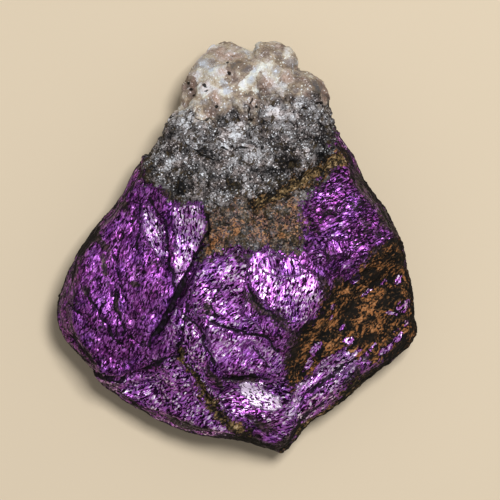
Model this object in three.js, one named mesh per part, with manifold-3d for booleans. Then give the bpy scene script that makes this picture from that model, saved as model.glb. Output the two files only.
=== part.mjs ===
// A rough piece of purpurite with its grey quartz matrix, lying on its flat side.
// Millimetres, +Z up. The origin is on the ground below the middle of the stone's box,
// and +Y points to the quartz end.
import * as THREE from "three";
import { ImprovedNoise } from "three/addons/math/ImprovedNoise.js";
import { mergeVertices } from "three/addons/utils/BufferGeometryUtils.js";
import Module from "manifold-3d";

const wasm = await Module();
wasm.setup();

// Driving dimensions
const LENGTH = 58; // along Y, quartz knobs to bottom tip
const WIDTH = 50.5; // along X
const CENTRE = [0, -3]; // plan point that the outline is drawn round
const FACE_SPREAD = 4.2; // reach of each top face before its neighbour takes over
const RIM_SHARE = 0.66; // height of the widest line, as a share of the top's height at the edge
const RIM_WANDER = 1.3; // how far that line strays up and down
const WALL_SLOPE = 3.2; // steepness of the broken wall above the widest line
const UNDER_SLOPE = 2.2; // steepness of the wall below it
const EDGE_SOFTNESS = 1.1; // width over which a face turns into a wall
const EDGE_ROUNDING = 1.5; // how blunt the widest line is
const WALL_ROUGHNESS = 0.7; // depth of the breaks in both walls
const FLAT_RADIUS = 12.5; // distance from the centre at which the underside leaves the ground
const UNDER_FACES = 9; // planes that rise from the flat spot
const UNDER_RISE = 0.3; // their mean slope
const PLATE = 5.2; // spacing of the cleavage plates of the purple mass
const PLATE_TILT = 0.16;
const GRAIN = 3.6; // spacing of the broken faces of the quartz end
const GRAIN_TILT = 0.42;
const PURPLE_ROUGHNESS = 0.25;
const QUARTZ_ROUGHNESS = 0.45;
const LUMP_BREAKS = 13; // flat breaks on each quartz lump
const CRACK_STEP = 1.6; // spacing of the points along a crack
const CRACK_TIP = 0.12; // half width of a crack at its ends
const CRACK_FLARE = 2.2; // widening of a crack's wedge at its open top
const CRACK_CLOSE = 0.4; // narrowing at its bottom

// Mesh density
const BODY_DETAIL = 16;
const LUMP_DETAIL = 3;
const RIM_LATITUDE = 112; // degrees from the pole at which the body's sphere meets the widest line
const OUTLINE_STEPS = 900;

// The plan outline, clockwise from the quartz neck, inside the knobs there.
const outline = [
  [-4.9, 25.2], [-2.4, 27.6], [0.4, 28.6], [1.9, 28.3], [3.4, 28.5], [6, 27.4], [7.8, 26.4],
  [9.7, 25.9], [11.2, 25], [12.3, 23.8], [12, 22.8], [12.5, 21.8], [13, 20.7], [12.6, 19.6],
  [13.9, 17.5], [15.3, 15.4], [16.6, 13.3], [17.5, 11.1], [18.9, 8.9], [21.5, 5.2], [23.2, 1.4],
  [24.2, -3.8], [25.1, -9.9], [25.3, -11.9], [25, -12.7], [23.5, -14], [22.6, -15.3],
  [20, -16.8], [16.6, -19.7], [12.8, -22.8], [10.9, -23.8], [9.6, -24.9], [7.5, -28],
  [6.5, -29], [5.3, -28.7], [2.7, -27.7], [-1.3, -26.9], [-6.7, -25.9], [-11.8, -23.8],
  [-18.3, -19.7], [-21.1, -16.2], [-24, -12.5], [-24.9, -10.4], [-25.2, -8.5], [-25.1, -6.9],
  [-22.9, -1.1], [-20.7, 2.5], [-16.2, 8.5], [-13.9, 12.8], [-11, 15.6], [-10.3, 17.4],
  [-8.7, 20], [-7, 21.4], [-6, 23.4],
];

// Faces of the top: the middle of each, its height there, and its rise towards +X and +Y.
const faces = [
  { name: "bright crown", at: [6.6, -5.5], height: 20.6, rise: [-0.04, 0.02] },
  { name: "crown left", at: [-2.5, -5], height: 19, rise: [0.14, -0.02] },
  { name: "crown top", at: [4, 3.5], height: 20, rise: [0, 0.02] },
  { name: "middle bulge", at: [1, -14.5], height: 18.8, rise: [-0.03, 0.14] },
  { name: "low bright step", at: [3.6, -20.8], height: 15, rise: [-0.08, 0.06] },
  { name: "bottom tip", at: [5.6, -26], height: 11.8, rise: [-0.05, 0.42] },
  { name: "left lobe", at: [-17.5, -7], height: 15.8, rise: [0.15, 0.03] },
  { name: "left lobe low", at: [-17, -14], height: 15, rise: [0.12, 0.14] },
  { name: "left lobe high", at: [-13.5, 2.5], height: 15.6, rise: [0.24, -0.12] },
  { name: "left strip", at: [-8.4, 0], height: 17.2, rise: [0.1, -0.03] },
  { name: "under lobe", at: [-13.5, -21], height: 11.6, rise: [0.12, 0.2] },
  { name: "low left", at: [-6, -21], height: 14, rise: [0.06, 0.3] },
  { name: "brown face", at: [18, -8.6], height: 14.6, rise: [-0.4, 0.1] },
  { name: "brown face high", at: [13.4, -12.5], height: 15.6, rise: [-0.36, 0.14] },
  { name: "right slab", at: [15.5, 3.8], height: 17.2, rise: [-0.24, -0.06] },
  { name: "right corner", at: [22, -11], height: 12, rise: [-0.26, 0.05] },
  { name: "low right", at: [13.2, -18.6], height: 13, rise: [-0.14, 0.14] },
  { name: "grey middle", at: [0.5, 11.5], height: 18.6, rise: [0, -0.14] },
  { name: "grey left", at: [-8.6, 11.2], height: 16, rise: [0.26, -0.1] },
  { name: "grey right", at: [10.5, 12.5], height: 16.4, rise: [-0.22, -0.14] },
  { name: "quartz neck", at: [2, 21], height: 13.4, rise: [0, -0.12] },
];

// Ledges, each a plan path with its lower side on the left as the path runs.
const ledges = [
  { name: "lobe foot", drop: 2.2, reach: 8,
    path: [[-10.6, -16.8], [-14.1, -17.6], [-17.5, -18.2], [-20.2, -17.5]] },
  { name: "bulge foot", drop: 1.6, reach: 6,
    path: [[-1.8, -17], [1, -17.5], [3.2, -18.2], [5.4, -17.6]].reverse() },
  { name: "crown foot", drop: 0.7, reach: 5,
    path: [[4, -11.9], [1.6, -11.6], [-0.6, -11.4], [-3.8, -10.2]] },
  { name: "matrix edge", drop: 1.1, reach: 6,
    path: [[-3.2, 2.6], [-6, 3], [-9.4, 4.8], [-12.6, 7.6]] },
  { name: "slab edge", drop: 1.2, reach: 6,
    path: [[23, 0.2], [17.9, -3], [13.7, -6.4], [10.6, -10.6]] },
  { name: "ridge foot", drop: 1.3, reach: 5,
    path: [[7.6, -18.6], [7.4, -14], [8.4, -9.6]].reverse() },
];

// Open cracks, each cut by a wedge: plan path, width at the surface and depth.
const cracks = [
  { name: "main crack", width: 1.1, depth: 2,
    path: [[-2.7, 2.4], [-4.6, 0.6], [-5.8, -2], [-7, -4.2], [-9.2, -8.4], [-10.1, -10.3],
      [-11.3, -12], [-12.2, -13.6]] },
  { name: "lobe foot crack", width: 0.9, depth: 1.6,
    path: [[-20.4, -17.2], [-18.3, -18.1], [-16.3, -18.2], [-14.1, -17.6], [-11.1, -16.1]] },
  { name: "side crack", width: 0.7, depth: 1.2,
    path: [[-9.9, -15.6], [-9, -15.3], [-8.2, -14.2], [-7.8, -12.2], [-7.4, -10.2]] },
  { name: "olive seam", width: 0.7, depth: 1,
    path: [[-7.8, -15], [-5.2, -18.9], [-3.4, -21.6], [-0.7, -24.9]] },
  { name: "left seam", width: 0.7, depth: 1,
    path: [[-12, 5.8], [-10.3, 3.7], [-9.7, 0.8], [-9.7, -2], [-8.7, -4.4]] },
  { name: "crown foot crack", width: 0.6, depth: 0.9,
    path: [[-3.6, -10.1], [-1.2, -11.5], [1.9, -11.7], [3.4, -11.5], [5, -13.3]] },
  { name: "middle seam", width: 0.5, depth: 0.8,
    path: [[-6.2, -10.2], [-5.2, -11.2], [-4.4, -12.8], [-3.8, -15.2]] },
  { name: "bulge foot crack", width: 1, depth: 1.2,
    path: [[-2.1, -17.4], [-0.6, -17.9], [1.6, -18], [4.7, -18.3]] },
  { name: "slab crack", width: 0.8, depth: 1.1,
    path: [[21.6, -0.8], [17.9, -3], [13.7, -6.3]] },
  { name: "low right crack", width: 0.7, depth: 1.1,
    path: [[9.4, -20.6], [11.3, -18.9], [13.6, -17.3], [16.3, -15.7]] },
  { name: "quartz crack", width: 0.6, depth: 1,
    path: [[1.9, 19.6], [1.7, 17.4], [1.4, 15]] },
  { name: "right quartz crack", width: 0.7, depth: 1.1,
    path: [[8, 18.4], [9.8, 19.3], [11.4, 19.6]] },
];

// Quartz lumps grown into the upper end: middle, half sizes and turn about Z in degrees.
const lumps = [
  { name: "left knob", at: [-1.7, 22.4, 8.4], size: [5.1, 7, 5.8], turn: 4 },
  { name: "top knob", at: [4.8, 25.2, 7.8], size: [3.8, 4.6, 5.2], turn: 0 },
  { name: "right knob", at: [8.2, 21, 8], size: [4.9, 3.9, 5.8], turn: -30 },
  { name: "middle lump", at: [1.8, 19.8, 8.6], size: [4, 4.6, 6.3], turn: 25 },
  { name: "left foot lump", at: [-4.9, 16.8, 9.5], size: [3.9, 3.4, 6.5], turn: 40 },
  { name: "right foot lump", at: [9.4, 15.6, 9.8], size: [3.9, 3.4, 6.4], turn: 60 },
];

const { clamp, degToRad, lerp, mapLinear, smoothstep } = THREE.MathUtils;
const noise = new ImprovedNoise();

// Rock roughness: three octaves of noise, about -1 to 1.
function rough(x, y, z, wavelength) {
  const octaves = [[1, 0.9], [2.1, 0.45], [4.3, 0.22]];
  return octaves.reduce((sum, [octave, weight]) => {
    const scale = octave / wavelength;
    return sum + weight * noise.noise(x * scale + 11.3, y * scale + 4.7, z * scale + 7.9);
  }, 0);
}

// A repeatable number from 0 to 1 for a pair of numbers.
function scatter(i, j) {
  const value = Math.sin(i * 127.1 + j * 311.7) * 43758.5453;
  return value - Math.floor(value);
}

// Tilted plates side by side: each has its own small step and slope, up to the given tilt.
function plates(x, y, spacing, tilt) {
  let best = { distance: Infinity, height: 0 };
  const column = Math.floor(x / spacing);
  const row = Math.floor(y / spacing);
  for (let i = column - 1; i <= column + 1; i++) {
    for (let j = row - 1; j <= row + 1; j++) {
      const dx = x - (i + 0.15 + 0.7 * scatter(i, j)) * spacing;
      const dy = y - (j + 0.15 + 0.7 * scatter(j, i + 57)) * spacing;
      const distance = Math.hypot(dx, dy);
      if (distance > best.distance) continue;
      const slopeX = scatter(i + 9, j) * 2 - 1;
      const slopeY = scatter(i, j + 9) * 2 - 1;
      const step = (scatter(i + 31, j + 17) - 0.5) * spacing * 0.45;
      best = { distance, height: tilt * (slopeX * dx + slopeY * dy + step) };
    }
  }
  return best.height;
}

// The lower of two heights, rounded over where they meet.
function softLower(a, b, softness) {
  const share = clamp(0.5 + (b - a) / (2 * softness), 0, 1);
  return lerp(b, a, share) - softness * share * (1 - share);
}

// Distance from the centre to the outline, looked up by angle on one smooth closed curve.
const outlineCurve = new THREE.CatmullRomCurve3(
  outline.map(([x, y]) => new THREE.Vector3(x, y, 0)), true, "centripetal");
const rim = outlineCurve.getPoints(OUTLINE_STEPS)
  .map((p) => {
    const dx = p.x - CENTRE[0];
    const dy = p.y - CENTRE[1];
    return { angle: Math.atan2(dy, dx), radius: Math.hypot(dx, dy) };
  })
  .sort((a, b) => a.angle - b.angle);

function outlineRadius(angle) {
  const next = rim.findIndex((p) => p.angle > angle);
  if (next <= 0) return rim[0].radius;
  const [a, b] = [rim[next - 1], rim[next]];
  return mapLinear(angle, a.angle, b.angle, a.radius, b.radius);
}

// The point of a plan path nearest to x, y: its distance, side (1 is left) and place along.
function nearest(path, x, y) {
  let best = { distance: Infinity, side: 1, along: 0 };
  for (let i = 0; i + 1 < path.length; i++) {
    const [ax, ay] = path[i];
    const [ux, uy] = [path[i + 1][0] - ax, path[i + 1][1] - ay];
    const t = clamp(((x - ax) * ux + (y - ay) * uy) / (ux * ux + uy * uy), 0, 1);
    const [dx, dy] = [x - ax - t * ux, y - ay - t * uy];
    const distance = Math.hypot(dx, dy);
    if (distance > best.distance) continue;
    const side = Math.sign(ux * dy - uy * dx) || 1;
    best = { distance, side, along: (i + t) / (path.length - 1) };
  }
  return best;
}

// How far the ledges lower the surface at x, y.
function ledgeDrop(x, y) {
  const brow = 1.7; // width of the steep part
  return ledges.reduce((total, { path, drop, reach }) => {
    const { distance, side, along } = nearest(path, x, y);
    if (side < 0 || distance > reach) return total;
    const ends = smoothstep(along, 0, 0.12) * smoothstep(1 - along, 0, 0.12);
    const foot = smoothstep(distance, 0, brow) * (1 - smoothstep(distance, brow, reach));
    return total + drop * ends * foot;
  }, 0);
}

// Height of the top's blended faces, without ledges and roughness.
function faceHeight(x, y) {
  let total = 0;
  let weights = 0;
  for (const { at, height, rise } of faces) {
    const dx = x - at[0];
    const dy = y - at[1];
    const weight = Math.exp(-(dx * dx + dy * dy) / FACE_SPREAD ** 2) + 1e-9;
    total += weight * (height + rise[0] * dx + rise[1] * dy);
    weights += weight;
  }
  return total / weights;
}

// Height of the top, before it turns down at the edge.
function topHeight(x, y) {
  const purple = plates(x, y, PLATE, PLATE_TILT) + PURPLE_ROUGHNESS * rough(x, y, 0, 3.5);
  const quartz = plates(x, y, GRAIN, GRAIN_TILT) + QUARTZ_ROUGHNESS * rough(x, y, 5, 3);
  const matrix = smoothstep(y - 0.35 * Math.abs(x), 4, 10);
  return faceHeight(x, y) - ledgeDrop(x, y) + lerp(purple, quartz, matrix);
}

// Height of the widest line at a plan angle.
function rimHeight(angle) {
  const radius = outlineRadius(angle);
  const edge = faceHeight(CENTRE[0] + radius * Math.cos(angle), CENTRE[1] + radius * Math.sin(angle));
  return RIM_SHARE * edge + RIM_WANDER * rough(3 * Math.cos(angle), 3 * Math.sin(angle), 2, 1.6);
}

// Height of the finished top at a share of the way out to the outline.
function surfaceHeight(x, y, angle, share) {
  const run = (1 - share) * outlineRadius(angle);
  const slope = WALL_SLOPE * Math.exp(0.35 * Math.sin(3 * angle + 1) + 0.25 * Math.sin(7 * angle));
  const wall = rimHeight(angle) + run * slope + EDGE_ROUNDING * Math.sqrt(run);
  return softLower(topHeight(x, y), wall, EDGE_SOFTNESS);
}

// Height of the underside: a flat spot, then planes that rise to the wall below the widest line.
function undersideHeight(x, y, angle, share) {
  let rise = 0;
  for (let i = 0; i < UNDER_FACES; i++) {
    const facing = 2 * Math.PI * i / UNDER_FACES + 0.35 * Math.sin(i * 2.3);
    const reach = FLAT_RADIUS + 2.5 * Math.sin(i * 1.7 + 0.6);
    const slope = UNDER_RISE + 0.12 * Math.sin(i * 3.1);
    const out = (x - CENTRE[0]) * Math.cos(facing) + (y - CENTRE[1]) * Math.sin(facing);
    rise = Math.max(rise, (out - reach) * slope);
  }
  const broken = plates(x, y, PLATE, 2 * PLATE_TILT) + 0.4 * rough(x, y, 9, 4);
  rise = Math.max(0, rise + broken * smoothstep(rise, 0, 1.5));
  const run = (1 - share) * outlineRadius(angle);
  const slope = UNDER_SLOPE * Math.exp(0.35 * Math.sin(2 * angle + 2.2) + 0.3 * Math.sin(5 * angle));
  const wall = rimHeight(angle) - run * slope - EDGE_ROUNDING * Math.sqrt(run);
  return Math.max(0, -softLower(-rise, -wall, EDGE_SOFTNESS));
}

// Moves each point of a unit sphere to the stone: the upper part over the plan, the rest below.
function bodyGeometry() {
  const geometry = new THREE.IcosahedronGeometry(1, BODY_DETAIL);
  const rimPolar = degToRad(RIM_LATITUDE);
  const point = geometry.getAttribute("position");
  for (let i = 0; i < point.count; i++) {
    const polar = Math.acos(clamp(point.getZ(i), -1, 1));
    const angle = Math.atan2(point.getY(i), point.getX(i));
    const above = polar <= rimPolar;
    const quarter = above ? polar / rimPolar : (Math.PI - polar) / (Math.PI - rimPolar);
    const share = Math.sin(quarter * Math.PI / 2);
    const radius = share * outlineRadius(angle);
    const x = CENTRE[0] + radius * Math.cos(angle);
    const y = CENTRE[1] + radius * Math.sin(angle);
    const z = above ? surfaceHeight(x, y, angle, share) : undersideHeight(x, y, angle, share);
    const offRim = 1 - 0.7 * Math.exp(-(((z - rimHeight(angle)) / 1.6) ** 2));
    const inward = WALL_ROUGHNESS * offRim * share ** 4 * (1 + rough(x, y, 1.4 * z, 4.5));
    point.setXYZ(i, x - inward * Math.cos(angle), y - inward * Math.sin(angle), z);
  }
  return geometry;
}

// A quartz lump: a sphere cut by scattered flat breaks, then stretched to its half sizes.
function lumpGeometry({ at, size, turn }, index) {
  const goldenTurn = Math.PI * (3 - Math.sqrt(5));
  const breaks = Array.from({ length: LUMP_BREAKS }, (_, k) => {
    const up = 1 - (2 * k + 1) / LUMP_BREAKS;
    const around = k * goldenTurn + 0.9 * scatter(k, index);
    const flat = Math.sqrt(1 - up * up);
    const face = new THREE.Vector3(flat * Math.cos(around), flat * Math.sin(around), up);
    return { face, reach: 0.8 + 0.18 * scatter(index + 5, k) };
  });
  const geometry = new THREE.IcosahedronGeometry(1, LUMP_DETAIL);
  const point = geometry.getAttribute("position");
  const way = new THREE.Vector3();
  for (let i = 0; i < point.count; i++) {
    way.fromBufferAttribute(point, i);
    const radius = breaks.reduce(
      (least, { face, reach }) => Math.min(least, reach / Math.max(way.dot(face), 0.2)), 1.2);
    const swell = radius * (1 + 0.06 * rough(way.x * 4 + at[0], way.y * 4 + at[1], way.z * 4, 3));
    point.setXYZ(i, way.x * size[0] * swell, way.y * size[1] * swell, way.z * size[2] * swell);
  }
  geometry.rotateZ(degToRad(turn));
  geometry.translate(...at);
  return geometry;
}

// A crack's wedge: open above the surface, narrow at its ends, closing downwards.
function wedgeGeometry({ path, width, depth }) {
  const curve = new THREE.CatmullRomCurve3(
    path.map(([x, y]) => new THREE.Vector3(x, y, 0)), false, "centripetal");
  const steps = Math.max(4, Math.round(curve.getLength() / CRACK_STEP));
  const centre = curve.getSpacedPoints(steps);
  const bank = (sign) => centre.map((p, i) => {
    const along = curve.getTangentAt(i / steps);
    const bow = Math.abs(Math.sin(Math.PI * i / steps)) ** 0.6;
    const half = sign * Math.max(CRACK_TIP, 0.5 * width * bow);
    return new THREE.Vector2(p.x - along.y * half, p.y + along.x * half);
  });
  const geometry = new THREE.ExtrudeGeometry(
    new THREE.Shape([...bank(1), ...bank(-1).reverse()]), { depth: 1, bevelEnabled: false });
  const point = geometry.getAttribute("position");
  for (let i = 0; i < point.count; i++) {
    const [x, y, top] = [point.getX(i), point.getY(i), point.getZ(i) > 0.5];
    const middle = centre.reduce((a, b) =>
      Math.hypot(b.x - x, b.y - y) < Math.hypot(a.x - x, a.y - y) ? b : a);
    const [outX, outY] = [middle.x - CENTRE[0], middle.y - CENTRE[1]];
    const angle = Math.atan2(outY, outX);
    const share = Math.min(1, Math.hypot(outX, outY) / outlineRadius(angle));
    const surface = surfaceHeight(middle.x, middle.y, angle, share);
    const spread = top ? CRACK_FLARE : CRACK_CLOSE;
    const height = top ? surface + depth : surface - depth;
    point.setXYZ(i, middle.x + spread * (x - middle.x), middle.y + spread * (y - middle.y), height);
  }
  return geometry;
}

// A closed geometry as a solid, with its shared points merged.
function solid(geometry) {
  geometry.deleteAttribute("normal");
  geometry.deleteAttribute("uv");
  const merged = mergeVertices(geometry, 1e-4);
  return new wasm.Manifold(new wasm.Mesh({
    numProp: 3,
    vertProperties: merged.getAttribute("position").array,
    triVerts: new Uint32Array(merged.index.array),
  }));
}

function stoneGeometry() {
  const whole = lumps.reduce(
    (stone, lump, i) => stone.add(solid(lumpGeometry(lump, i))), solid(bodyGeometry()));
  const cracked = cracks.reduce(
    (stone, crack) => stone.subtract(solid(wedgeGeometry(crack))), whole);
  // A crack may cut off a chip, which falls away.
  const largest = cracked.decompose().reduce((a, b) => (a.volume() > b.volume() ? a : b));
  const mesh = largest.getMesh();
  const geometry = new THREE.BufferGeometry();
  geometry.setAttribute("position", new THREE.BufferAttribute(mesh.vertProperties, 3));
  geometry.setIndex(new THREE.BufferAttribute(mesh.triVerts, 1));
  geometry.computeBoundingBox();
  const size = geometry.boundingBox.getSize(new THREE.Vector3());
  const middle = geometry.boundingBox.getCenter(new THREE.Vector3());
  geometry.translate(-middle.x, -middle.y, 0);
  return geometry.scale(WIDTH / size.x, LENGTH / size.y, 1);
}

const stone = new THREE.Mesh(
  stoneGeometry(),
  new THREE.MeshStandardMaterial({ color: 0x5a2878, roughness: 0.38, metalness: 0.45, flatShading: true }));
stone.name = "purpurite";

const specimen = new THREE.Group();
specimen.add(stone);

export default specimen;
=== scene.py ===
"""A rough piece of purpurite with its quartz matrix, on a plain pale floor.

The stone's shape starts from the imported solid. Places and sizes on the stone are in millimetres,
with +X to the right and +Y to the quartz end, seen from above; Blender's own lengths are metres.
"""
import math
import bpy
import numpy as np
from bpy.props import FloatProperty, FloatVectorProperty, IntProperty, PointerProperty
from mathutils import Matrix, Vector, noise


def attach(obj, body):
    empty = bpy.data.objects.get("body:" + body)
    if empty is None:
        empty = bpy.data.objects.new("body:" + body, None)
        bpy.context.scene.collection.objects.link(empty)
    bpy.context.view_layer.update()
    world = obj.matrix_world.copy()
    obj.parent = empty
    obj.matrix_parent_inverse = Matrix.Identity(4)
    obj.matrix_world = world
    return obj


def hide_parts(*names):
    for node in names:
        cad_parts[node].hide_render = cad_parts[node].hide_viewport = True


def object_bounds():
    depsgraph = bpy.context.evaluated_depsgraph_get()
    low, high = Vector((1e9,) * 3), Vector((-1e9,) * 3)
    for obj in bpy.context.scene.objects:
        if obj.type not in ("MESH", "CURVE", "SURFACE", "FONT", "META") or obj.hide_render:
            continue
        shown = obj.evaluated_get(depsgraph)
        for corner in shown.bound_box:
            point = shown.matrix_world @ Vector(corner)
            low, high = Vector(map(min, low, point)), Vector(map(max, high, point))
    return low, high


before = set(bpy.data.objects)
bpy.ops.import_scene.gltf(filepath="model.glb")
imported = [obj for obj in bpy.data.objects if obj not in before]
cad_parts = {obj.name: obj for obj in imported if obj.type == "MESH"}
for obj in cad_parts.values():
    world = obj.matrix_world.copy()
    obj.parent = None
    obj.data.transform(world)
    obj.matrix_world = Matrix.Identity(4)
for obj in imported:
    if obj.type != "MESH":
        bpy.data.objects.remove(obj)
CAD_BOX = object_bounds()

bl_info = {
    "name": "Purpurite Specimen",
    "version": (1, 0, 0),
    "blender": (4, 5, 0),
    "location": "3D View > Sidebar > Specimen",
    "description": "Builds a rough purpurite stone with its quartz matrix and a plain stage",
    "category": "Add Mesh",
}

MM = 0.001
SOLID = "purpurite"
STONE = "purpurite_stone"

# The photograph's frame: which of its pixels is the stone's origin, and how long a pixel is at the
# height of the stone's widest line.
PIXEL = 0.14 * MM
PHOTO_SIZE = 500
ORIGIN_PIXEL = (237.5, 247.0)
WIDEST_HEIGHT = 9 * MM

# The stone's mesh: vertices nearer than the weld are one, and those that face further down than the
# limit belong to the underside.
WELD = 0.001 * MM
UNDERSIDE_LIMIT = -0.3

# The key light in metres, the light from all round, and the floor.
KEY_PLACE = (0.085, 0.1, 0.5)
SURROUND_COLOUR = (1, 0.99, 0.98, 1)
FLOOR_SIZE = 3
CLIP_START = 0.01

# Outlines of the areas on top, in plan.
MATRIX = [
    (-13.6, 13.6), (-12.8, 9.7), (-12.5, 8.1), (-10.2, 8), (-9.5, 6.6), (-7.8, 6), (-5.4, 6.6),
    (-4.4, 4.6), (-4.1, 2.4), (-4.8, 0.1), (-5.7, -1.7), (-4.8, -2.1), (-3.3, -1.4), (-1.2, 0.1),
    (0.5, 0), (1.9, -0.8), (4.1, 0), (6.2, -0.3), (8.2, -1), (9.2, -0.1), (8.8, 2.1), (8.3, 3.9),
    (9.5, 6.2), (10.6, 8), (12.5, 9.8), (14.5, 11.8), (13.8, 13.6), (13.5, 15.3), (16, 18),
    (16, 36), (-16, 36), (-16, 14),
]
PALE_QUARTZ = [
    (-10, 36), (15, 36), (14.4, 20.6), (11.8, 20.3), (9.5, 21), (7.4, 20.6), (5.3, 21.6),
    (3.4, 20.6), (2.9, 18.9), (2, 17.8), (0.4, 18.9), (-1.6, 18.9), (-2.7, 18.1), (-5.3, 17.5),
    (-5.8, 18.9), (-10, 18.9),
]
OCHRE_BAND = [
    (1.8, 6.2), (3.4, 7.4), (5.4, 8), (8.8, 9.7), (11.6, 11.3), (14.1, 13.3), (15.1, 12.5),
    (14.5, 11.5), (11.8, 9.7), (9.2, 8), (7.1, 6.9), (4.6, 5.9), (2.6, 4.9),
]
RED_BROWN = [
    (-4.6, 4.6), (-1.8, 5.9), (1.8, 6.6), (5.3, 6), (8.8, 7.1), (9, 2.1), (8.3, -0.4), (6, 0.1),
    (3.4, 0.4), (1.1, 0.1), (-1.3, 0.7), (-3.3, -1.3), (-4.8, -1.5), (-4.3, 1.5),
]
CROWN = [
    (1.8, -1), (4.6, -0.4), (6.9, -1.4), (9, -2.4), (11, -4.2), (12, -6.4), (11, -8.5),
    (8.5, -10.2), (6.2, -9.7), (4.1, -7.8), (2.7, -6.4), (1.9, -5.5), (1.6, -3.2),
]
CROWN_LEFT = [
    (-5.5, -2.1), (-2.3, -1.3), (0.1, -0.3), (1.6, -1.3), (1.2, -4.6), (1.2, -7.4), (0.4, -9.1),
    (3.4, -11.1), (1.8, -11.6), (-0.6, -11.6), (-3.9, -10.2), (-5.8, -9.1), (-6, -5.3),
]
BULGE = [
    (-3.7, -10.4), (-1.9, -11.2), (-0.5, -11.8), (1.9, -11.5), (3.7, -12), (4.6, -13.2),
    (6, -14.8), (6.2, -16.2), (4.8, -17.4), (3.4, -17.6), (0.5, -17.2), (-2.3, -16.7),
    (-3.7, -15.5), (-3.3, -13.9), (-4.1, -12.2),
]
# A step of foil whose near-white brightness is painted glare of the light.
PAINTED_GLARE_STEP = [
    (0.5, -18.8), (2.9, -18.6), (4.1, -19.9), (5.7, -20.4), (6.4, -22.1), (4.3, -22.7),
    (2, -21.6), (0.8, -20.3),
]
LOW_STEP = [
    (-4.6, -16.9), (-1.8, -17.8), (3.4, -18.3), (6.2, -17.5), (7.6, -20.3), (7.6, -23.5),
    (8.2, -25.6), (7.4, -27.7), (3.4, -25.6), (0.4, -24.2), (-2.2, -21.4),
]
STRIP = [
    (6.5, -23.1), (7.4, -20.6), (8.8, -18.9), (11, -17.5), (12.7, -15.5), (15.1, -14.4),
    (16.6, -16.1), (14.4, -17.2), (11.3, -18.9), (8.8, -21.1), (7.9, -23.9),
]
LOW_RIGHT = [
    (8.2, -23.9), (7.9, -22.4), (11.6, -19.2), (14.4, -17.5), (16.6, -16.4), (15.8, -18.1),
    (14.6, -20), (14.1, -21.1), (11.8, -22.8), (9.3, -23.9),
]
SLAB = [
    (14.5, 11.5), (16, 10.8), (17.4, 8.8), (19, 6.2), (20.8, 4.1), (22.3, 2), (20.8, 1.3),
    (17.4, -1.5), (15.3, -3.8), (13.2, -5.2), (12.1, -3.2), (9.9, -1), (9, 0.1), (8.6, 2.9),
    (9.6, 6), (10.9, 8), (12.7, 9.7),
]
BROWN_FACE = [
    (12.3, -5.5), (15.1, -4.3), (17.2, -2.1), (20.8, 1), (22.6, 1.5), (26, 0), (27, -6),
    (27, -12.5), (24.2, -14.1), (21.4, -15.8), (18.8, -16.7), (16.6, -16.1), (15.1, -14.4),
    (12.7, -15.5), (10.4, -17.5), (8.8, -19.2), (7.4, -20.6), (6.5, -17.5), (7.4, -13.7),
    (8.8, -10.9), (11.3, -8.5),
]
OLIVE_EDGE = [
    (20.5, -15.8), (18.8, -16.8), (15.8, -18.6), (13.7, -21.4), (11.8, -23), (8.8, -24.2),
    (7.9, -26.5), (6, -29), (7, -31), (12, -29), (18, -24), (24, -18),
]
STRIP_HIGH = [
    (-13.1, 5.9), (-12, 5.5), (-10.4, 2.9), (-9.7, 0.1), (-10.2, -2.1), (-12, -0.4), (-12.8, 2.1),
]
STRIP_NEAR = [
    (-9.2, 5.5), (-7.2, 6), (-5.4, 5.7), (-4.4, 3.5), (-4.7, 1), (-5.5, -0.7), (-6.7, -3.5),
    (-8.1, -5.2), (-8.9, -2.1), (-8.6, 1.3),
]
LOBE = [
    (-13, 8), (-10.2, 7.7), (-9.7, 5.9), (-5.3, 6.3), (-5.3, -1.1), (-8.3, -8), (-10.2, -10.5),
    (-12.3, -16.5), (-16.5, -17.5), (-20, -17.5), (-28, -17), (-28, 4), (-16.5, 12),
]
SHELF = [
    (-24, -17.8), (-15.8, -18.3), (-11.1, -17.5), (-8.6, -14.7), (-5.8, -20.3), (-3, -23.1),
    (-0.8, -26.2), (-4.6, -30), (-14, -28), (-24, -22),
]
MID_LEFT = [
    (-8.3, -8.3), (-6.7, -9.9), (-4.4, -11.6), (-3.6, -14.4), (-4.1, -16.7), (-1.6, -19.2),
    (0.1, -21.7), (-2.2, -22.8), (-5.3, -19.5), (-7.5, -15.8), (-8.6, -13), (-10, -11.6),
]

# Purple areas: outline, brightness of the foil's painted sheen (its reflection of the light,
# painted into its colour), contrast of its painted glints, and way of its striations in degrees
# from +X.
FOILS = [
    (LOBE, 0.28, 0.72, 66), (SHELF, 0.42, 1.6, 40), (MID_LEFT, 0.44, 1.5, 60), (SLAB, 0.1, 1.7, 24),
    (CROWN_LEFT, 0.42, 1.35, 34), (CROWN, 0.58, 1.2, 72), (BULGE, 0.64, 0.7, 50),
    (LOW_STEP, 0.3, 1.8, 12), (PAINTED_GLARE_STEP, 1.5, 1.5, 150), (LOW_RIGHT, 0.56, 1.8, 44),
    (STRIP, 0.7, 1.6, 42), (STRIP_HIGH, 0.64, 1.4, 104), (STRIP_NEAR, 0.66, 1.5, 82),
]
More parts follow.
